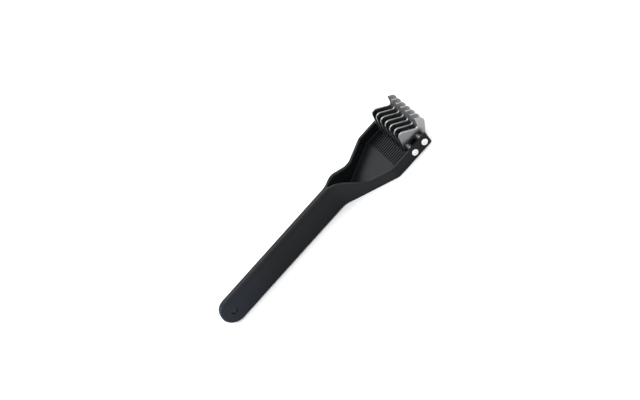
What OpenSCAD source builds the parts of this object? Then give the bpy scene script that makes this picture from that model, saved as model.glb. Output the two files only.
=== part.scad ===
// Dematting comb: a one-piece moulded handle and tray that carries a row of hooked
// steel blades, spaced out along two cross rivets.
// Units are millimetres. X runs along the tool from the handle to the blades, Y runs
// across the row of blades and Z is up. The tray stands on its flat underside.

/* [Handle] */
// Length of the handle, from its round end to the neck
handle_l = 118; // [90:1:140]
// Depth of the handle, which is a flat bar standing on edge
handle_d = 20.5; // [18:0.25:22]
// Thickness of the handle
handle_t = 7; // [6:0.25:8]
// Radius on the long edges of the handle
handle_edge_r = 2; // [0.5:0.25:3]
// Diameter of the hanging hole
hang_d = 4.6; // [3:0.2:6]

/* [Tray] */
// Length of the tray along its underside, from the neck to the front
tray_l = 72; // [68:1:74]
// Width over the two side walls
tray_w = 54; // [50:1:60]
// Height of the side walls beside the blades
wall_h = 8.8; // [8.4:0.2:10]
// Thickness of the side walls
wall_t = 3; // [2.2:0.2:3.4]
// Thickness of the floor
floor_t = 1.9; // [1.4:0.1:1.9]
// Distance from the neck to where the walls run parallel
flare_l = 39.5; // [34:0.5:44]
// Radius of the shoulder between the flared and the parallel walls
shoulder_r = 6; // [3:1:10]
// Forward lean of the front ends of the side walls, in degrees
front_lean = 9; // [0:1:12]
// Distance from the neck to where the rim begins to fall
rim_start_x = 2.5; // [0:0.5:4]
// Radius of the two bends that lower the rim from the handle to the walls
rim_bend_r = 12; // [10:1:14]
// Steepest angle of the rim on its way down, in degrees
rim_slope = 40; // [36:1:44]
// Radius of the curve at the back of the hollow
back_r = 14; // [10:1:16]

/* [Floor grooves] */
// Number of grooves
groove_n = 20; // [10:1:20]
// Distance between neighbouring grooves
groove_pitch = 2.3; // [2:0.1:2.4]
// Width of a groove
groove_w = 1.1; // [0.6:0.1:1.4]
// Depth of a groove
groove_depth = 0.4; // [0.2:0.05:0.6]
// Distance from the neck to where the grooves begin
groove_x = 42.5; // [38:0.5:50]

/* [Blades] */
// Number of blades
blade_n = 7; // [5:1:7]
// Distance between neighbouring blades
blade_pitch = 6.75; // [6.5:0.05:7]
// Thickness of a blade
blade_t = 1.2; // [0.8:0.1:1.5]
// Height of the rounded lobe of a blade above the underside
lobe_top = 20; // [19:0.25:21]
// Radius of the lobe
lobe_r = 3.2; // [2.6:0.1:3.4]
// Radius of the throat that the hair slides into
throat_r = 2.1; // [1.8:0.1:2.3]
// Radius of the nose of the beak
nose_r = 3.9; // [3.5:0.1:4]
// Gap between the blades and the floor
blade_gap = 0.5; // [0.4:0.1:0.8]

/* [Rivets] */
// Distance from the neck to the rear rivet
rivet_x = 58.8; // [57.4:0.1:59]
// Distance between the two rivets
rivet_pitch = 9.5; // [9.2:0.1:10]
// Height of the rivets above the underside
rivet_z = 5.2; // [5.2:0.1:5.4]
// Outer diameter of the rivet's tube
tube_d = 3; // [2.6:0.1:3.4]
// Diameter of the rivet's inner pin
pin_d = 1.8; // [1.2:0.1:2]
// Diameter of the flat rivet heads
head_d = 4.8; // [4.4:0.1:5.6]
// Thickness of the flat rivet heads
head_t = 1; // [0.6:0.1:1.2]
// Outer diameter of the spacer tubes
spacer_d = 5; // [4.6:0.1:6]
// Radial play between a rivet and what it passes through
play = 0.05; // [0.02:0.01:0.08]

/* [Hidden] */
$fn = 48;
STEEL = [0.72, 0.73, 0.74];
BRIGHT_STEEL = [0.86, 0.86, 0.86];
PLASTIC = [0.17, 0.18, 0.19];

handle_r = handle_d / 2;
half_w = tray_w / 2;
inner_half_w = half_w - wall_t;
// Extra length or height given to cutting shapes
over = 1;
arc_steps = 10;

// Angle of the flared sides, seen from above
flare_angle = atan((half_w - handle_t / 2) / flare_l);

// Fall of the rim: a bend, a straight slope and a bend the other way
rim_drop = handle_d - wall_h;
rim_run = (rim_drop - 2 * rim_bend_r * (1 - cos(rim_slope))) / sin(rim_slope);
rim_end_x = rim_start_x + 2 * rim_bend_r * sin(rim_slope) + rim_run * cos(rim_slope);

// Front of the tray, whose upper edge leans forward
front_top_x = tray_l + wall_h * tan(front_lean);

// Hollow of the tray: its tip lies where the offset sides of the flare meet
hollow_tip_x = (wall_t / cos(flare_angle) - handle_t / 2) / tan(flare_angle);
floor_start_x = hollow_tip_x + back_r + 1;

// Stack of blades, centred between the walls
stack_half = (blade_n - 1) / 2 * blade_pitch;
blade_bottom = floor_t + blade_gap;
end_gap = inner_half_w - stack_half - blade_t / 2;

// Blade outline, given from the neck and the underside
lobe_x = rivet_x + 2.6;
nose_x = lobe_x + 14.2;
nose_z = lobe_top - 5.9;
throat_x = lobe_x + 10.4;
throat_z = lobe_top - 4.8;

// Place of the origin: the middle of the tool's length
origin_x = (nose_x + nose_r - handle_l) / 2;

// Points along an arc
function arc(centre, r, from, to) = [
    for (i = [0:arc_steps])
        let (a = from + (to - from) * i / arc_steps)
            centre + r * [cos(a), sin(a)]
];

// Outline of a bar with round edges, centred on the origin
function round_bar(w, h, r) = [
    for (q = [[1, 1, 0], [-1, 1, 90], [-1, -1, 180], [1, -1, 270]])
        each arc([q[0] * (w / 2 - r), q[1] * (h / 2 - r)], r, q[2], q[2] + 90)
];

// Half plan of the tray, grown inwards by "inset" from its outer faces
function half_plan(inset, end_x) =
    let (
        side = half_w - inset,
        start_x = inset == 0 ? 0 : hollow_tip_x,
        start_y = inset == 0 ? handle_t / 2 : 0,
        corner_r = max(shoulder_r - inset, 1),
        corner_x = start_x + (side - start_y) / tan(flare_angle),
        centre = [corner_x + corner_r * tan(flare_angle / 2), side - corner_r]
    )
    [
        [start_x, 0], [end_x, 0], [end_x, side],
        each arc(centre, corner_r, 90, 90 + flare_angle),
        [start_x, start_y]
    ];

// Moves a shape from the neck to the tool's own origin
module from_neck() {
    translate([-origin_x, 0, 0]) children();
}

// Extrudes an outline drawn in X and Z across the tool, centred on the middle plane
module across(width) {
    rotate([90, 0, 0])
        linear_extrude(height = width, center = true) children();
}

// Cylinder along Y from y0 to y1
module cross_cylinder(d, y0, y1) {
    translate([0, y1, 0])
        rotate([90, 0, 0]) cylinder(h = y1 - y0, d = d);
}

// Both halves of a plan that is drawn on one side of the middle plane
module both_sides() {
    children();
    mirror([0, 1, 0]) children();
}

// Bar handle with a round end, which runs a little way into the tray
module handle_bar() {
    bar_l = handle_l + rim_start_x;
    intersection() {
        across(handle_t) union() {
            translate([-(handle_l - handle_r), handle_r]) circle(r = handle_r, $fn = 96);
            translate([-(handle_l - handle_r), 0]) square([bar_l - handle_r, handle_d]);
        }
        translate([-handle_l - over, 0, handle_r]) rotate([90, 0, 90])
            linear_extrude(height = bar_l + 2 * over)
                polygon(round_bar(handle_t, handle_d, handle_edge_r));
    }
}

// Outer form of the tray: its plan, cut to the falling line of the rim
module tray_block() {
    upper_bend = [rim_start_x, handle_d - rim_bend_r];
    lower_bend = [rim_end_x, wall_h + rim_bend_r];
    intersection() {
        both_sides() linear_extrude(height = handle_d + over) polygon(half_plan(0, front_top_x + over));
        across(tray_w + 2 * over) polygon(concat(
            [[0, 0], [tray_l, 0], [front_top_x, wall_h]],
            arc(lower_bend, rim_bend_r, 270, 270 - rim_slope),
            arc(upper_bend, rim_bend_r, 90 - rim_slope, 90),
            [[0, handle_d]]
        ));
    }
}

// Space inside the tray: flat floor, curved back, open at the top and the front
module tray_hollow() {
    back_centre = [floor_start_x, floor_t + back_r];
    intersection() {
        both_sides() linear_extrude(height = handle_d + 2 * over)
            polygon(half_plan(wall_t, front_top_x + 2 * over));
        across(tray_w) polygon(concat(
            [[front_top_x + 2 * over, floor_t], [front_top_x + 2 * over, handle_d + over]],
            [[floor_start_x - back_r, handle_d + over]],
            arc(back_centre, back_r, 180, 270)
        ));
    }
}

module floor_grooves() {
    for (i = [0:groove_n - 1])
        translate([groove_x, (i - (groove_n - 1) / 2) * groove_pitch - groove_w / 2, floor_t - groove_depth])
            cube([tray_l, groove_w, groove_depth + over]);
}

module hanging_hole() {
    translate([-(handle_l - handle_r), 0, handle_r])
        cross_cylinder(hang_d, -handle_t, handle_t);
}

module rivet_holes() {
    for (i = [0, 1])
        translate([rivet_x + i * rivet_pitch, 0, rivet_z])
            cross_cylinder(tube_d + 2 * play, -half_w - over, half_w + over);
}

module body() {
    color(PLASTIC) from_neck() difference() {
        union() {
            handle_bar();
            tray_block();
        }
        tray_hollow();
        floor_grooves();
        hanging_hole();
        rivet_holes();
    }
}

// Outline of a blade in X and Z: foot, back edge, beak, throat, cutting slope and lobe
function blade_outline() = concat(
    [[rivet_x - 5, blade_bottom], [tray_l, blade_bottom]],
    arc([nose_x, nose_z], nose_r, -35, 75),
    [[nose_x - 0.3, lobe_top - 0.9], [nose_x - 0.9, lobe_top - 1.8]],
    arc([throat_x, throat_z], throat_r, 10, -135),
    arc([lobe_x, lobe_top - lobe_r], lobe_r, 50, 165),
    [[rivet_x - 3, blade_bottom + 7.6]]
);

module blade(i) {
    color(STEEL) from_neck() translate([0, stack_half - (i - 1) * blade_pitch, 0])
        difference() {
            across(blade_t) polygon(blade_outline());
            for (k = [0, 1])
                translate([rivet_x + k * rivet_pitch, 0, rivet_z])
                    cross_cylinder(tube_d + 2 * play, -over, over);
        }
}

// Spacer tubes, counted like the blades from the +Y wall to the -Y wall
module spacer(row, i) {
    is_end = i == 1 || i == blade_n + 1;
    length = is_end ? end_gap : blade_pitch - blade_t;
    top_y = i == 1 ? inner_half_w : stack_half - (i - 2) * blade_pitch - blade_t / 2;
    color(STEEL) from_neck()
        translate([rivet_x + row * rivet_pitch, top_y - length, rivet_z])
            difference() {
                cross_cylinder(spacer_d, 0, length);
                cross_cylinder(tube_d + 2 * play, -over, length + over);
            }
}

// Female half of a rivet: a long tube with a flat head on the -Y wall
module rivet_tube(row) {
    color(BRIGHT_STEEL) from_neck()
        translate([rivet_x + row * rivet_pitch, 0, rivet_z])
            difference() {
                union() {
                    cross_cylinder(tube_d, -half_w - head_t / 2, half_w);
                    cross_cylinder(head_d, -half_w - head_t, -half_w);
                }
                cross_cylinder(pin_d, -half_w - head_t - over, half_w + over);
            }
}

// Male half of a rivet: a solid pin with a flat head on the +Y wall
module rivet_pin(row) {
    color(BRIGHT_STEEL) from_neck()
        translate([rivet_x + row * rivet_pitch, 0, rivet_z])
            union() {
                cross_cylinder(pin_d - 0.02, -half_w - head_t, half_w + head_t / 2);
                cross_cylinder(head_d, half_w, half_w + head_t);
            }
}

body();

for (i = [1:blade_n])
    blade(i);

for (i = [1:blade_n + 1]) {
    spacer(0, i);
    spacer(1, i);
}

rivet_tube(0);  // rear_rivet_tube
rivet_tube(1);  // front_rivet_tube
rivet_pin(0);  // rear_rivet_pin
rivet_pin(1);  // front_rivet_pin
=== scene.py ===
"""Dematting comb: a dark moulded handle and tray with seven hooked steel blades on two rivets.

Lengths are in millimetres and become metres in the meshes. X runs from the handle to the blades,
with 0 at the neck where the handle meets the tray. Y runs across the row of blades and Z is up.
"""
import math
from math import cos, pi, sin, sqrt, tan

import bmesh
import bpy
from mathutils import Matrix, Vector


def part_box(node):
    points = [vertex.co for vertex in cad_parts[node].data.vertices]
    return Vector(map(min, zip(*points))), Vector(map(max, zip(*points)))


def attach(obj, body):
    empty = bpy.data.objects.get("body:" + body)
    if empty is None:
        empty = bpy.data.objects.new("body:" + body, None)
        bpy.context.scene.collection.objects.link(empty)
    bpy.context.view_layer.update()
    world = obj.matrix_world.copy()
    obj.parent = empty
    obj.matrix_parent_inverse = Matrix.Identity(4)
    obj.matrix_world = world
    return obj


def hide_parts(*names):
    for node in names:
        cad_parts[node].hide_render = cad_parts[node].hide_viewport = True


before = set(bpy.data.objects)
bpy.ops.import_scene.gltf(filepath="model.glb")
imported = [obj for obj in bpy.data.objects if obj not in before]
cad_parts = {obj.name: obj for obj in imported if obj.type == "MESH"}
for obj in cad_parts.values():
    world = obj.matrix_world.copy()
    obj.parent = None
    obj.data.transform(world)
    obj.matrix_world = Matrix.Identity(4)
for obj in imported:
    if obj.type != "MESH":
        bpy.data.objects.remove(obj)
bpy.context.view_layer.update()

MM = 0.001

# ---------------------------------------------------------------- driving dimensions
HANDLE_L = 118.0
HANDLE_D = 20.5
HANDLE_T = 7.0
HANDLE_R = HANDLE_D / 2
HANDLE_EDGE_R = 2.0
HANG_D = 4.6

TRAY_L = 72.0
TRAY_W = 54.0
HALF_W = TRAY_W / 2
WALL_H = 8.8
WALL_T = 3.0
FLOOR_T = 1.9
INNER_HALF_W = HALF_W - WALL_T
FLARE_L = 39.5
SHOULDER_R = 6.0
FRONT_LEAN = math.radians(9)
RIM_START = 2.5
RIM_BEND_R = 12.0
RIM_SLOPE = math.radians(40)
BACK_R = 14.0

GROOVE_N = 20
GROOVE_PITCH = 2.3
GROOVE_W = 1.1
GROOVE_DEPTH = 0.7
GROOVE_X = 42.5

RIVET_X = 58.8
RIVET_PITCH = 9.5
RIVET_Z = 5.2
TUBE_D = 3.0
PIN_D = 1.8
HEAD_D = 4.8
HEAD_T = 1.0
SPACER_D = 5.0
PLAY = 0.05
ROWS = ("rear", "front")

BLADE_N = 7
BLADE_PITCH = 6.75
BLADE_T = 1.2
STACK_HALF = (BLADE_N - 1) / 2 * BLADE_PITCH
BLADE_BOTTOM = FLOOR_T + 0.5
LOBE_TOP = 20.0
LOBE_R = 3.2
LOBE_X = RIVET_X + 2.6
THROAT_R = 2.1
THROAT_X = LOBE_X + 10.4
THROAT_Z = LOBE_TOP - 4.8
NOSE_R = 3.9
NOSE_X = LOBE_X + 14.2
NOSE_Z = LOBE_TOP - 5.9

# The frame gives the place of the neck: the handle's round end is the body's lowest X
NECK_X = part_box("body")[0].x / MM + HANDLE_L


def frame_x(x):
    """X in the frame in metres, for a place given from the neck."""
    return (x + NECK_X) * MM


def place(x, y, z):
    """A point in the frame in metres, for one given from the neck."""
    return Vector((frame_x(x), y * MM, z * MM))


# ---------------------------------------------------------------- node materials
# Noise in waves to the metre, depths of bumps in metres, and places along X of the frame in metres
PLASTIC_GRAIN, PLASTIC_GRAIN_DEPTH = 2600, 0.00002
PLASTIC_FLOW, PLASTIC_FLOW_DEPTH = 28, 0.00008
# Places along X between which the plastic takes a painted sheen: lighter and bluer towards the round
# end, in place of the blue key light's reflection
PAINTED_SHEEN_FROM, PAINTED_SHEEN_TO = -0.04, -0.1
STEEL_LINES, STEEL_LINES_DEPTH = 5200, 0.000003
STEEL_CLOUD = 70
# Past the throat the blades turn duller, and paler as a painted highlight for the light that the beaks
# catch
BEAK_SHEEN_AND_DULL_FROM, BEAK_SHEEN_AND_DULL_TO = frame_x(THROAT_X - 0.57), frame_x(THROAT_X + 2.43)
NOISE_DETAIL = 3
# Share of the fine lines in the tone of the steel, against its clouds
LINE_SHARE = 0.65


def new_material(name):
    """A material with its node tree, its shader and a coordinate output."""
    mat = bpy.data.materials.new(name)
    mat.use_nodes = True
    tree = mat.node_tree
    shader = tree.nodes["Principled BSDF"]
    coords = tree.nodes.new("ShaderNodeTexCoord").outputs["Object"]
    return mat, tree, shader, coords


def noise(tree, coords, scale, detail=NOISE_DETAIL, stretch=(1, 1, 1)):
    """Noise of so many waves to the metre, drawn out along an axis by a small factor there."""
    mapping = tree.nodes.new("ShaderNodeMapping")
    mapping.inputs["Scale"].default_value = stretch
    tree.links.new(coords, mapping.inputs["Vector"])
    tex = tree.nodes.new("ShaderNodeTexNoise")
    tex.inputs["Scale"].default_value = scale
    tex.inputs["Detail"].default_value = detail
    tree.links.new(mapping.outputs["Vector"], tex.inputs["Vector"])
    return tex.outputs["Fac"]


def remap(tree, value, low, high, start=0.3, end=0.7):
    """The value from start to end, mapped on to low to high. Noise lies mostly from 0.3 to 0.7."""
    node = tree.nodes.new("ShaderNodeMapRange")
    settings = (("From Min", start), ("From Max", end), ("To Min", low), ("To Max", high))
    for name, number in settings:
        node.inputs[name].default_value = number
    tree.links.new(value, node.inputs["Value"])
    return node.outputs["Result"]


def along_x(tree, coords):
    """X of the coordinates."""
    axes = tree.nodes.new("ShaderNodeSeparateXYZ")
    tree.links.new(coords, axes.inputs["Vector"])
    return axes.outputs["X"]


def blend_colour(tree, factor, dark, light):
    """A colour between dark and light."""
    ramp = tree.nodes.new("ShaderNodeValToRGB")
    ramp.color_ramp.elements[0].color = (*dark, 1)
    ramp.color_ramp.elements[1].color = (*light, 1)
    tree.links.new(factor, ramp.inputs["Fac"])
    return ramp.outputs["Color"]


def fade_colour(tree, factor, colour, other):
    """A colour that turns into another one as the factor rises from 0 to 1."""
    mix = tree.nodes.new("ShaderNodeMixRGB")
    mix.inputs["Color2"].default_value = (*other, 1)
    tree.links.new(factor, mix.inputs["Fac"])
    tree.links.new(colour, mix.inputs["Color1"])
    return mix.outputs["Color"]


def bump(tree, height, depth, after=None):
    """A bump of so many metres, added to an earlier one."""
    node = tree.nodes.new("ShaderNodeBump")
    node.inputs["Distance"].default_value = depth
    tree.links.new(height, node.inputs["Height"])
    if after is not None:
        tree.links.new(after, node.inputs["Normal"])
    return node.outputs["Normal"]


def plastic_material():
    """Charcoal moulded plastic: a satin grain, faint flow marks, and a painted sheen at the round end,
    where the colour turns lighter and bluer in place of the reflection of the blue key light.
    """
    mat, tree, shader, coords = new_material("charcoal_plastic")
    grain = noise(tree, coords, PLASTIC_GRAIN)
    flow = noise(tree, coords, PLASTIC_FLOW, stretch=(0.35, 1, 1))
    colour = blend_colour(tree, flow, dark=(0.003, 0.0035, 0.0042), light=(0.0052, 0.006, 0.007))
    # Painted sheen: the colour turns lighter and bluer towards the round end, in place of the blue key
    # light's reflection there
    to_painted_sheen = remap(tree, along_x(tree, coords), 0.0, 1.0, start=PAINTED_SHEEN_FROM, end=PAINTED_SHEEN_TO)
    colour = fade_colour(tree, to_painted_sheen, colour, other=(0.0095, 0.013, 0.02))
    tree.links.new(colour, shader.inputs["Base Color"])
    tree.links.new(remap(tree, grain, low=0.34, high=0.46), shader.inputs["Roughness"])
    shader.inputs["Specular IOR Level"].default_value = 0.13
    normal = bump(tree, grain, PLASTIC_GRAIN_DEPTH)
    normal = bump(tree, flow, PLASTIC_FLOW_DEPTH, normal)
    tree.links.new(normal, shader.inputs["Normal"])
    return mat


def steel_material(name, dark, light, rough, stretch=(1, 1, 1), sheen_and_dull_beak=False):
    """Steel with fine lines along the direction that it was ground in, and a cloudy sheen.

    With the beak option, it turns duller past the throat towards the beak, and paler there as a
    painted highlight for the light that the beaks catch.
    """
    mat, tree, shader, coords = new_material(name)
    lines = noise(tree, coords, STEEL_LINES, stretch=stretch)
    cloud = noise(tree, coords, STEEL_CLOUD)
    tone = tree.nodes.new("ShaderNodeMath")
    tone.operation = "MULTIPLY_ADD"
    tone.inputs[1].default_value = LINE_SHARE
    tree.links.new(lines, tone.inputs[0])
    tree.links.new(remap(tree, cloud, low=0.0, high=1 - LINE_SHARE), tone.inputs[2])
    colour = blend_colour(tree, tone.outputs[0], dark, light)
    if sheen_and_dull_beak:
        # Painted highlight: the colour turns paler towards the beak for the light that the beaks
        # catch, and the roughness rises there too
        x = along_x(tree, coords)
        to_beak = remap(tree, x, 0.0, 1.0, start=BEAK_SHEEN_AND_DULL_FROM, end=BEAK_SHEEN_AND_DULL_TO)
        colour = fade_colour(tree, to_beak, colour, other=(0.32, 0.32, 0.325))
        roughness = remap(tree, x, low=rough, high=0.55, start=BEAK_SHEEN_AND_DULL_FROM, end=BEAK_SHEEN_AND_DULL_TO)
    else:
        roughness = remap(tree, lines, low=rough - 0.05, high=rough + 0.08)
    tree.links.new(colour, shader.inputs["Base Color"])
    tree.links.new(roughness, shader.inputs["Roughness"])
    shader.inputs["Metallic"].default_value = 1.0
    tree.links.new(bump(tree, lines, STEEL_LINES_DEPTH), shader.inputs["Normal"])
    return mat


PLASTIC = plastic_material()
BLADE_STEEL = steel_material(
    "blade_steel", dark=(0.15, 0.152, 0.156), light=(0.19, 0.192, 0.196), rough=0.3,
    stretch=(1, 1, 0.04), sheen_and_dull_beak=True)
EDGE_STEEL = steel_material(
    "ground_edge_steel", dark=(0.34, 0.345, 0.35), light=(0.42, 0.425, 0.43), rough=0.38,
    stretch=(0.05, 1, 1))
SPACER_STEEL = steel_material(
    "spacer_steel", dark=(0.72, 0.72, 0.725), light=(0.82, 0.82, 0.825), rough=0.1,
    stretch=(1, 0.05, 1))
RIVET_STEEL = steel_material(
    "rivet_steel", dark=(0.62, 0.62, 0.63), light=(0.74, 0.74, 0.74), rough=0.3)


# ---------------------------------------------------------------- mesh helpers
# Edges that turn by more than this many degrees stay sharp
BODY_SHARP, BLADE_SHARP, SPACER_SHARP, RIVET_SHARP = 38, 20, 25, 30
# Steps of a full turn
RIVET_TURN, SPACER_TURN, CUTTER_TURN, HOLE_TURN = 64, 48, 48, 40
# Lengths that differ by less than this count as the same
SAME = 1e-6
# Distances in metres within which vertices merge, and below which an edge or a face is dropped
MERGE_BODY, DROP_BODY = 0.004 * MM, 0.002 * MM
MERGE_TURNED, DROP_TURNED = 1e-7, 1e-8


def new_mesh(name, bm):
    """A mesh with the shape of the working mesh, which is freed."""
    mesh = bpy.data.meshes.new(name)
    bm.to_mesh(mesh)
    bm.free()
    return mesh


def shade_smooth(mesh, sharp_angle):
    """Smooth shading, with the sharper edges kept."""
    mesh.polygons.foreach_set("use_smooth", [True] * len(mesh.polygons))
    mesh.set_sharp_from_angle(angle=math.radians(sharp_angle))


def add_object(name, bm, materials, nodes, sharp_angle):
    """Makes the piece and ties it to the frame."""
    bmesh.ops.recalc_face_normals(bm, faces=bm.faces)
    mesh = new_mesh(name, bm)
    for mat in materials:
        mesh.materials.append(mat)
    obj = bpy.data.objects.new(name, mesh)
    bpy.context.scene.collection.objects.link(obj)
    shade_smooth(mesh, sharp_angle)
    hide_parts(*nodes)
    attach(obj, "root")
    return obj


def arc(centre, radius, start, end, steps):
    """Points on an arc, angles in degrees, both ends included."""
    points = []
    for i in range(steps + 1):
        a = math.radians(start + (end - start) * i / steps)
        points.append((centre[0] + radius * cos(a), centre[1] + radius * sin(a)))
    return points


def join_rings(bm, one, two):
    """Quads between two closed rings of the same length."""
    count = len(one)
    for k in range(count):
        m = (k + 1) % count
        bm.faces.new((one[k], one[m], two[m], two[k]))


def lathe(bm, profile, x, z, steps):
    """Turns a closed profile of (y, radius) about an axis along Y through (x, z)."""
    rings = []
    for i in range(steps):
        a = 2 * pi * i / steps
        ring = [place(x + r * cos(a), y, z + r * sin(a)) for y, r in profile]
        rings.append([bm.verts.new(point) for point in ring])
    for one, two in zip(rings, rings[1:] + rings[:1]):
        join_rings(bm, one, two)
    bmesh.ops.remove_doubles(bm, verts=bm.verts, dist=MERGE_TURNED)
    bmesh.ops.dissolve_degenerate(bm, edges=bm.edges, dist=DROP_TURNED)


def rivet_x(row):
    """Distance from the neck to the rear rivet (row 0) or the front one (row 1)."""
    return RIVET_X + row * RIVET_PITCH


# ---------------------------------------------------------------- handle and tray
# Axis of the handle's round end, which is also that of the hanging hole
END_AXIS_X = -(HANDLE_L - HANDLE_R)
END_STEPS = 40
HANG_EDGE_R = 0.5
RIVET_HOLE_EDGE_R = 0.1

FLARE = math.atan((HALF_W - HANDLE_T / 2) / FLARE_L)
HOLLOW_TIP = (WALL_T / cos(FLARE) - HANDLE_T / 2) / tan(FLARE)
SHOULDER_END = FLARE_L + SHOULDER_R * tan(FLARE / 2)
SHOULDER_START = SHOULDER_END - SHOULDER_R * sin(FLARE)
# How far the rounding inside the shoulder ends behind the one outside
INNER_SHOULDER_BACK = 0.8

# The floor curves up from here to its back, which is steep and stands this far from the tip
TIP_GAP = 1.0
FLOOR_START = HOLLOW_TIP + BACK_R + TIP_GAP
BACK_STEEPNESS = 30
# A hollow that is shallower than this is left out
LEAST_DEPTH = 0.02

RIM_DROP = HANDLE_D - WALL_H
RIM_RUN = (RIM_DROP - 2 * RIM_BEND_R * (1 - cos(RIM_SLOPE))) / sin(RIM_SLOPE)
RIM_BEND_X = RIM_BEND_R * sin(RIM_SLOPE)
RIM_END = RIM_START + 2 * RIM_BEND_X + RIM_RUN * cos(RIM_SLOPE)

# Fillet in the corner between the handle and the flare, and its reach on both sides of the neck
NECK_BEND_R = 14.0
NECK_REACH = NECK_BEND_R * tan(FLARE / 2)

# Roundings of the tray's section: the rim, the edges of the underside and the corner of the floor
RIM_R = 0.8
BASE_R = 0.9
FILLET_R = 0.6
LEAST_R = 0.05
ARC_STEPS = 5
# Where the roundings change from those of the handle to those of the tray
TRAY_EDGES_FROM, TRAY_EDGES_TO = -3, 9
# The most that the rim's inner rounding may take of the hollow's half width and depth
LIP_SHARE = 0.5
# The most that the fillet of the floor may take of them
FILLET_WIDTH_SHARE, FILLET_DEPTH_SHARE = 0.6, 0.4

# Half the width that the grooves take up, and half the width of one at its top and bottom
FLAT_HALF = GROOVE_N / 2 * GROOVE_PITCH
GROOVE_TOP_HALF, GROOVE_BOTTOM_HALF = 0.5 * GROOVE_W, 0.46 * GROOVE_W
# Length over which the grooves reach their depth
GROOVE_RUN_IN = 0.1

# Where the front begins to lean forward, and where it leans in full
LEAN_START, LEAN_END = TRAY_L - 8, TRAY_L - 0.5
FRONT_EDGE_R = 0.6
FRONT_EDGE_STEPS = 4


def ease(x, start, end):
    """0 before start, 1 after end, smooth between."""
    t = min(max((x - start) / (end - start), 0.0), 1.0)
    return t * t * (3 - 2 * t)


def half_width(x):
    """Half the width over the outer faces at x: handle, neck fillet, flare, shoulder and walls."""
    if x <= -NECK_REACH:
        return HANDLE_T / 2
    if x < NECK_REACH * cos(FLARE):
        return HANDLE_T / 2 + NECK_BEND_R - sqrt(NECK_BEND_R ** 2 - (x + NECK_REACH) ** 2)
    if x < SHOULDER_START:
        return HANDLE_T / 2 + x * tan(FLARE)
    if x < SHOULDER_END:
        return HALF_W - SHOULDER_R + sqrt(SHOULDER_R ** 2 - (SHOULDER_END - x) ** 2)
    return HALF_W


def inner_half_width(x):
    """Half the width of the hollow at x, which is 0 behind its tip."""
    radius = SHOULDER_R - WALL_T
    end = SHOULDER_END - INNER_SHOULDER_BACK
    if x > end:
        return INNER_HALF_W
    if x > end - radius * sin(FLARE):
        return INNER_HALF_W - radius + sqrt(radius ** 2 - (end - x) ** 2)
    return max(min((x - HOLLOW_TIP) * tan(FLARE), INNER_HALF_W), 0.0)


def rim_height(x):
    """Height of the rim at x: the handle's top, a bend, the slope, a bend back and the walls."""
    if x <= RIM_START:
        return HANDLE_D
    if x <= RIM_START + RIM_BEND_X:
        return HANDLE_D - RIM_BEND_R + sqrt(RIM_BEND_R ** 2 - (x - RIM_START) ** 2)
    if x >= RIM_END:
        return WALL_H
    if x >= RIM_END - RIM_BEND_X:
        return WALL_H + RIM_BEND_R - sqrt(RIM_BEND_R ** 2 - (RIM_END - x) ** 2)
    slope_top = HANDLE_D - RIM_BEND_R * (1 - cos(RIM_SLOPE))
    return slope_top - (x - RIM_START - RIM_BEND_X) * tan(RIM_SLOPE)


def floor_height(x):
    """Height of the hollow's floor at x: flat at the front and curving up to the rim at the back."""
    if x >= FLOOR_START:
        return FLOOR_T
    reach = min(FLOOR_START - x, BACK_R)
    curve = FLOOR_T + BACK_R - sqrt(BACK_R ** 2 - reach ** 2)
    return min(curve + max(FLOOR_START - x - BACK_R, 0) * BACK_STEEPNESS, rim_height(x))


def groove_profile(x):
    """Points of half the floor, from the wall to the middle, as (share of its width, depth)."""
    depth = GROOVE_DEPTH * ease(x, GROOVE_X, GROOVE_X + GROOVE_RUN_IN)
    across_one = ((GROOVE_TOP_HALF, 0), (GROOVE_BOTTOM_HALF, depth),
                  (-GROOVE_BOTTOM_HALF, depth), (-GROOVE_TOP_HALF, 0))
    points = []
    for i in reversed(range(GROOVE_N // 2)):
        middle = (i + 0.5) * GROOVE_PITCH
        points += [((middle + offset) / FLAT_HALF, low) for offset, low in across_one]
    return points


def section(x, inset=0.0):
    """Half the cross-section at x, from the middle of the underside round to the middle of the top.

    The points are (y, z), and there are as many of them at every x.
    """
    tray = ease(x, TRAY_EDGES_FROM, TRAY_EDGES_TO)
    top_r = max(HANDLE_EDGE_R + (RIM_R - HANDLE_EDGE_R) * tray - inset, LEAST_R)
    base_r = max(HANDLE_EDGE_R + (BASE_R - HANDLE_EDGE_R) * tray - inset, LEAST_R)
    width = half_width(x) - inset
    height = rim_height(x) - inset
    inner = inner_half_width(x) + (inset if x > HOLLOW_TIP else 0)
    floor = min(floor_height(x) - inset, height)
    depth = height - floor
    shares = groove_profile(x)

    count = len(shares) + 2 * (ARC_STEPS + 1) + 1
    points = [((width - base_r) * i / count, inset) for i in range(count)]
    points += arc((width - base_r, inset + base_r), base_r, -90, 0, ARC_STEPS)
    points.append((width, (inset + height) / 2))
    points += arc((width - top_r, height - top_r), top_r, 0, 90, ARC_STEPS)
    if depth < LEAST_DEPTH or inner <= 0:
        points += [((width - top_r) * (count - 1 - i) / count, height) for i in range(count)]
        return points

    wall_top = max(width - top_r - inner, 0.0)
    lip_r = min(RIM_R, inner * LIP_SHARE, depth * LIP_SHARE, wall_top)
    fillet_r = min(FILLET_R, (inner - lip_r) * FILLET_WIDTH_SHARE, depth * FILLET_DEPTH_SHARE)
    flat = inner - fillet_r
    points += arc((inner + lip_r, height - lip_r), lip_r, 90, 180, ARC_STEPS)
    points += arc((flat, floor + fillet_r), fillet_r, 0, -90, ARC_STEPS)
    points += [(flat * share, floor - low) for share, low in shares]
    points.append((0.0, floor))
    return points


def front_lean(x, z):
    """How far a point near the front leans forward."""
    return z * tan(FRONT_LEAN) * ease(x, LEAN_START, LEAN_END)


def add_ring(bm, x, inset=0.0, x_shift=0.0):
    """One closed ring of vertices round the body at x."""
    half = section(x, inset)
    loop = half + [(-y, z) for y, z in reversed(half[1:-1])]
    return [bm.verts.new(place(x + x_shift + front_lean(x, z), y, z)) for y, z in loop]


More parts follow.
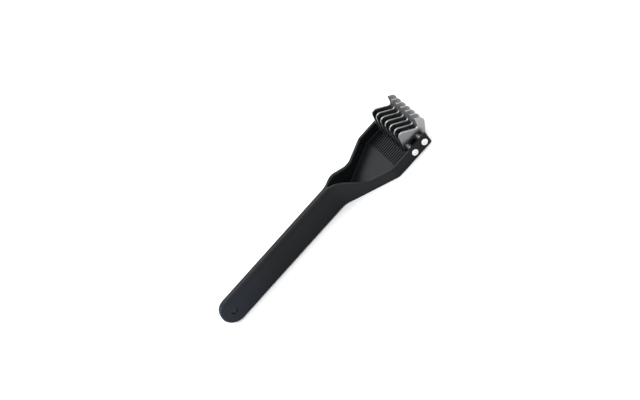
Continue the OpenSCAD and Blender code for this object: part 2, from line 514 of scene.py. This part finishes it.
def stations():
    """Places of the rings along X, close together where the shape changes fast."""
    before_neck, past_neck = -5.0, 6.0
    in_tip = HOLLOW_TIP + 0.15
    past_slope = RIM_END + 2
    before_shoulder, past_shoulder = SHOULDER_START - 1, SHOULDER_END + 0.5
    spans = [
        (END_AXIS_X, before_neck, 24),
        (before_neck, HOLLOW_TIP, 16),
        (in_tip, past_neck, 26),
        (past_neck, past_slope, 40),
        (past_slope, before_shoulder, 12),
        (before_shoulder, past_shoulder, 16),
        (past_shoulder, GROOVE_X, 4),
        (GROOVE_X + GROOVE_RUN_IN, LEAN_START, 12),
        (LEAN_START, TRAY_L - FRONT_EDGE_R, 8),
    ]
    places = []
    for start, end, steps in spans:
        places += [start + (end - start) * i / steps for i in range(steps + 1)]
    places.sort()
    return [x for i, x in enumerate(places) if i == 0 or x - places[i - 1] > SAME]


def add_round_end(bm):
    """The handle's round end: the upper half of its section turned about the axis of the end."""
    top = [(y, z - HANDLE_R) for y, z in section(END_AXIS_X) if z >= HANDLE_R - SAME]
    rim = top + [(-y, r) for y, r in reversed(top[:-1])]
    rows = []
    for i in range(END_STEPS + 1):
        a = pi * i / END_STEPS
        row = [place(END_AXIS_X - r * sin(a), y, HANDLE_R + r * cos(a)) for y, r in rim]
        rows.append([bm.verts.new(point) for point in row])
    for one, two in zip(rows, rows[1:]):
        for k in range(len(rim) - 1):
            bm.faces.new((one[k], one[k + 1], two[k + 1], two[k]))


def add_front_end(bm, last):
    """Rounds the front edges of the floor and the walls, and closes the front."""
    for i in range(1, FRONT_EDGE_STEPS + 1):
        a = pi / 2 * i / FRONT_EDGE_STEPS
        inset = FRONT_EDGE_R * (1 - cos(a))
        ring = add_ring(bm, TRAY_L, inset, x_shift=-FRONT_EDGE_R + FRONT_EDGE_R * sin(a))
        join_rings(bm, last, ring)
        last = ring
    bm.faces.new(last)


def hole_cutter(name, x, z, radius, half_length, flare):
    """A cylinder along Y that flares at the surfaces, for a drilled hole with rounded edges."""
    over = 2
    arc_steps = 6
    end = -half_length - over
    profile = [(end, 0.0), (end, radius + flare)]
    for i in range(arc_steps + 1):
        a = pi / 2 * i / arc_steps
        profile.append((-half_length + flare - flare * cos(a), radius + flare - flare * sin(a)))
    profile += [(-y, r) for y, r in reversed(profile)]
    bm = bmesh.new()
    lathe(bm, profile, x, z, CUTTER_TURN)
    bmesh.ops.recalc_face_normals(bm, faces=bm.faces)
    return bpy.data.objects.new(name, new_mesh(name, bm))


def drill(obj, cutters):
    """Subtracts the cutters from the piece, applies the result and shades it evenly."""
    for cutter in cutters:
        bpy.context.scene.collection.objects.link(cutter)
        modifier = obj.modifiers.new("drill", "BOOLEAN")
        modifier.operation = "DIFFERENCE"
        modifier.solver = "EXACT"
        modifier.object = cutter
    graph = bpy.context.evaluated_depsgraph_get()
    cut = bpy.data.meshes.new_from_object(obj.evaluated_get(graph), depsgraph=graph)
    obj.modifiers.clear()
    old = obj.data
    obj.data = cut
    bpy.data.meshes.remove(old)
    for cutter in cutters:
        mesh = cutter.data
        bpy.data.objects.remove(cutter)
        bpy.data.meshes.remove(mesh)
    shade_smooth(cut, BODY_SHARP)
    weighted = obj.modifiers.new("even_normals", "WEIGHTED_NORMAL")
    weighted.keep_sharp = True


def make_body():
    """The moulding: the round end, rings from there to the front, and the drilled holes."""
    bm = bmesh.new()
    add_round_end(bm)
    last = None
    for x in stations():
        ring = add_ring(bm, x)
        if last is not None:
            join_rings(bm, last, ring)
        last = ring
    add_front_end(bm, last)
    bmesh.ops.remove_doubles(bm, verts=bm.verts, dist=MERGE_BODY)
    bmesh.ops.dissolve_degenerate(bm, edges=bm.edges, dist=DROP_BODY)
    body = add_object("moulded_body", bm, [PLASTIC], ["body"], BODY_SHARP)

    cutters = [hole_cutter("hang_cutter", END_AXIS_X, HANDLE_R, HANG_D / 2, HANDLE_T / 2, HANG_EDGE_R)]
    for row in range(len(ROWS)):
        cutters.append(hole_cutter(f"rivet_cutter_{row}", rivet_x(row), RIVET_Z, TUBE_D / 2 + PLAY,
                                   HALF_W, RIVET_HOLE_EDGE_R))
    drill(body, cutters)


# ---------------------------------------------------------------- blades
FOOT_X, FOOT_R = RIVET_X - 4.2, 0.8
BACK_X, BACK_Z = RIVET_X - 3, BLADE_BOTTOM + 7.6
BEAK_X, BEAK_Z, BEAK_R = NOSE_X - 0.2, LOBE_TOP - 1.2, 0.45

# How far the bevel reaches in from the outline, and how far it falls below the flat face
PLAIN_BEVEL, BEAK_BEVEL, GROUND_BEVEL, LOBE_END_BEVEL = 0.12, 0.2, 0.45, 0.15
BEVEL_DEPTH = 0.14
# Keeps the bevel short at a corner: the least cosine that its width is divided by
MITRE_LIMIT = 0.5
# Places in the blade's list of materials
BLADE_FACE, GROUND_FACE = 0, 1


def blade_outline():
    """Outline of a blade, as (X and Z, width of the bevel there).

    It goes round the foot, the nose, the beak, the throat, the slope, the lobe and the back.
    """
    slope_steps, lobe_fade_steps = 10, 8
    throat = arc((THROAT_X, THROAT_Z), THROAT_R, 6, -135, 22)
    lobe = arc((LOBE_X, LOBE_TOP - LOBE_R), LOBE_R, 50, 165, 16)
    points = [(p, PLAIN_BEVEL) for p in arc((FOOT_X, BLADE_BOTTOM + FOOT_R), FOOT_R, 200, 270, 5)]
    points.append(((TRAY_L, BLADE_BOTTOM), PLAIN_BEVEL))
    points += [(p, PLAIN_BEVEL) for p in arc((NOSE_X, NOSE_Z), NOSE_R, -35, 75, 18)]
    points += [(p, BEAK_BEVEL) for p in arc((BEAK_X, BEAK_Z), BEAK_R, 75, 190, 6)]
    points += [(p, GROUND_BEVEL) for p in throat]
    (x0, z0), (x1, z1) = throat[-1], lobe[0]
    for i in range(1, slope_steps):
        t = i / slope_steps
        points.append(((x0 + (x1 - x0) * t, z0 + (z1 - z0) * t), GROUND_BEVEL))
    for i, p in enumerate(lobe):
        fade = min(i / lobe_fade_steps, 1)
        points.append((p, GROUND_BEVEL + (LOBE_END_BEVEL - GROUND_BEVEL) * fade))
    points.append(((BACK_X, BACK_Z), PLAIN_BEVEL))
    return points


def inset_outline(points):
    """Moves each point inwards by its own bevel width, along the mean of its edges' normals."""
    moved = []
    count = len(points)
    for i, (p, width) in enumerate(points):
        before, after = Vector(points[i - 1][0]), Vector(points[(i + 1) % count][0])
        here = Vector(p)
        one, two = (here - before).normalized(), (after - here).normalized()
        normal = Vector((-(one + two).y, (one + two).x)).normalized()
        cosine = max(abs(normal.dot(Vector((-one.y, one.x)))), MITRE_LIMIT)
        moved.append(tuple(here + normal * width / cosine))
    return moved


def hole_circles():
    """Circles of both rivet holes, in X and Z."""
    last_angle = 360 - 360 / HOLE_TURN
    return [arc((rivet_x(row), RIVET_Z), TUBE_D / 2 + PLAY, 0, last_angle, HOLE_TURN - 1)
            for row in range(len(ROWS))]


def make_blade(number):
    """A flat plate with two holes, bevelled all round and most along the throat and the slope."""
    y = STACK_HALF - (number - 1) * BLADE_PITCH
    half = BLADE_T / 2
    outline = blade_outline()
    inner = inset_outline(outline)
    count = len(outline)
    bm = bmesh.new()

    def add_loop(points, level):
        """Vertices at the points, so far to one side of the blade's middle."""
        return [bm.verts.new(place(px, y + level, pz)) for px, pz in points]

    sides = []
    for side in (1, -1):
        flat = add_loop(inner, side * half)
        rim = add_loop([p for p, _ in outline], side * (half - BEVEL_DEPTH))
        holes = [add_loop(circle, side * half) for circle in hole_circles()]
        edges = []
        for loop in [flat] + holes:
            edges += [bm.edges.new((loop[k], loop[(k + 1) % len(loop)])) for k in range(len(loop))]
        bmesh.ops.triangle_fill(bm, edges=edges, use_beauty=True, normal=Vector((0, side, 0)))
        sides.append((flat, rim, holes))
    for flat, rim, _ in sides:
        for k in range(count):
            m = (k + 1) % count
            face = bm.faces.new((flat[k], flat[m], rim[m], rim[k]))
            is_ground = max(outline[k][1], outline[m][1]) > LOBE_END_BEVEL
            face.material_index = GROUND_FACE if is_ground else BLADE_FACE
    (_, left_rim, left_holes), (_, right_rim, right_holes) = sides
    for k in range(count):
        m = (k + 1) % count
        face = bm.faces.new((left_rim[k], left_rim[m], right_rim[m], right_rim[k]))
        face.material_index = GROUND_FACE
    for left, right in zip(left_holes, right_holes):
        join_rings(bm, left, right)
    add_object(f"blade_plate_{number}", bm, [BLADE_STEEL, EDGE_STEEL],
               [f"blade_{number}"], BLADE_SHARP)


# ---------------------------------------------------------------- rivets and spacers
SPACER_CHAMFER = 0.2
HEAD_EDGE_R = 0.35
HEAD_EDGE_STEPS = 5
# Ring sunk into a head: its depth, and how far its floor and its slope reach beyond the bore
SINK_DEPTH, SINK_FLOOR, SINK_SLOPE = 0.35, 0.08, 0.3
# Play of the pin in its tube, how far its tip stays behind the tube's head, and the tip's chamfer
PIN_PLAY = 0.01
PIN_TIP_BACK = 0.1
PIN_CHAMFER = 0.25


def tube_profile(y0, y1, inner, outer):
    """Closed profile of a tube with its outer edges chamfered."""
    edge = outer - SPACER_CHAMFER
    return [(y0, inner), (y0, edge), (y0 + SPACER_CHAMFER, outer),
            (y1 - SPACER_CHAMFER, outer), (y1, edge), (y1, inner)]


def make_spacer(row, number):
    """A tube between two blades, or between a blade and the wall."""
    name = f"{ROWS[row]}_spacer_{number}"
    lo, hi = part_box(name)
    bm = bmesh.new()
    profile = tube_profile(lo.y / MM, hi.y / MM, TUBE_D / 2 + PLAY, SPACER_D / 2)
    lathe(bm, profile, rivet_x(row), RIVET_Z, SPACER_TURN)
    add_object(f"tube_{name}", bm, [SPACER_STEEL], [name], SPACER_SHARP)


def head_profile(face, side, bore):
    """Profile of a flat head with a rounded edge, from its bore to its underside."""
    outer = HEAD_D / 2
    sunk = face + side * SINK_DEPTH
    points = [(sunk, bore), (sunk, bore + SINK_FLOOR), (face, bore + SINK_SLOPE),
              (face, outer - HEAD_EDGE_R)]
    for i in range(1, HEAD_EDGE_STEPS + 1):
        a = pi / 2 * i / HEAD_EDGE_STEPS
        points.append((face + side * HEAD_EDGE_R * (1 - cos(a)),
                       outer - HEAD_EDGE_R + HEAD_EDGE_R * sin(a)))
    points.append((face + side * HEAD_T, outer))
    return points


def make_rivet(row):
    """The tube with its head on the -Y wall, and the pin with its head on the +Y wall."""
    word = ROWS[row]
    face = HALF_W + HEAD_T

    bm = bmesh.new()
    profile = head_profile(-face, 1, PIN_D / 2)
    profile += [(-HALF_W, TUBE_D / 2), (HALF_W, TUBE_D / 2), (HALF_W, PIN_D / 2)]
    lathe(bm, profile, rivet_x(row), RIVET_Z, RIVET_TURN)
    add_object(f"{word}_tube_and_head", bm, [RIVET_STEEL],
               [f"{word}_rivet_tube"], RIVET_SHARP)

    bm = bmesh.new()
    shank = PIN_D / 2 - PIN_PLAY
    tip = -face + PIN_TIP_BACK
    profile = [(face, 0.0)] + head_profile(face, -1, shank)[1:]
    profile += [(HALF_W, shank), (tip + PIN_CHAMFER, shank), (tip, shank - PIN_CHAMFER), (tip, 0.0)]
    lathe(bm, profile, rivet_x(row), RIVET_Z, RIVET_TURN)
    add_object(f"{word}_pin_and_head", bm, [RIVET_STEEL],
               [f"{word}_rivet_pin"], RIVET_SHARP)


# ---------------------------------------------------------------- stage, light and camera
# Places in metres, angles in degrees, and the lens and the sensor in millimetres
CAMERA_AZIMUTH, CAMERA_ELEVATION, CAMERA_ROLL = map(math.radians, (4.9, 37.1, 51.0))
CAMERA_DISTANCE = 0.912
CAMERA_SIDE, CAMERA_RISE = -0.00437, 0.01593
LENS = 73.06875
SENSOR_WIDTH = 36.0
CLIP_START, CLIP_END = 0.01, 20
FLOOR_HALF = 6
WORLD_STRENGTH = 0.8
LIGHT_TARGET = Vector((0, 0, 0))


def make_camera():
    """The camera at the photographed angle, rolled so that the tool lies on a diagonal."""
    az, el, roll = CAMERA_AZIMUTH, CAMERA_ELEVATION, CAMERA_ROLL
    back = Vector((sin(az) * cos(el), -cos(az) * cos(el), sin(el)))
    level = Vector((cos(az), sin(az), 0))
    upright = back.cross(level)
    right = cos(roll) * level - sin(roll) * upright
    up = sin(roll) * level + cos(roll) * upright
    data = bpy.data.cameras.new("camera")
    data.sensor_width = SENSOR_WIDTH
    data.lens = LENS
    data.clip_start, data.clip_end = CLIP_START, CLIP_END
    camera = bpy.data.objects.new("camera", data)
    location = back * CAMERA_DISTANCE + right * CAMERA_SIDE + up * CAMERA_RISE
    turn = Matrix((right, up, back)).transposed().to_4x4()
    camera.matrix_world = Matrix.Translation(location) @ turn
    bpy.context.scene.collection.objects.link(camera)
    bpy.context.scene.camera = camera


def make_floor():
    """A large pale floor under the tool."""
    bm = bmesh.new()
    bmesh.ops.create_grid(bm, x_segments=2, y_segments=2, size=FLOOR_HALF)
    mesh = new_mesh("floor", bm)
    mat, tree, shader, coords = new_material("pale_floor")
    mottle = noise(tree, coords, scale=3, detail=2)
    tint = blend_colour(tree, mottle, dark=(0.9, 0.9, 0.9), light=(0.93, 0.93, 0.93))
    tree.links.new(tint, shader.inputs["Base Color"])
    shader.inputs["Roughness"].default_value = 0.9
    mesh.materials.append(mat)
    floor = bpy.data.objects.new("floor", mesh)
    bpy.context.scene.collection.objects.link(floor)


def make_world():
    """Even white light from all round."""
    world = bpy.data.worlds.new("studio")
    bpy.context.scene.world = world
    world.use_nodes = True
    background = world.node_tree.nodes["Background"]
    background.inputs["Color"].default_value = (1, 1, 1, 1)
    background.inputs["Strength"].default_value = WORLD_STRENGTH
    bpy.context.scene.view_settings.view_transform = "Standard"


def add_area(name, position, size, watts, colour=(1, 1, 1)):
    """A square soft light aimed at the tool."""
    data = bpy.data.lights.new(name, "AREA")
    data.color = colour
    data.size = size
    data.energy = watts
    light = bpy.data.objects.new(name, data)
    light.location = position
    light.rotation_mode = "QUATERNION"
    light.rotation_quaternion = (LIGHT_TARGET - Vector(position)).to_track_quat("-Z", "Y")
    bpy.context.scene.collection.objects.link(light)


make_camera()
make_floor()
make_world()
add_area("back", position=(0, 1.1, 0.85), size=0.8, watts=5)
add_area("key", position=(-1.0, 0.15, 0.8), size=0.9, watts=10, colour=(0.86, 0.93, 1))
add_area("fill", position=(0.9, 0.3, 1.0), size=0.8, watts=7)
add_area("front", position=(0.1, -0.9, 1.3), size=1.0, watts=11)

make_body()
for blade_number in range(1, BLADE_N + 1):
    make_blade(blade_number)
for rivet_row in range(len(ROWS)):
    for spacer_number in range(1, BLADE_N + 2):
        make_spacer(rivet_row, spacer_number)
    make_rivet(rivet_row)

bpy.context.view_layer.update()
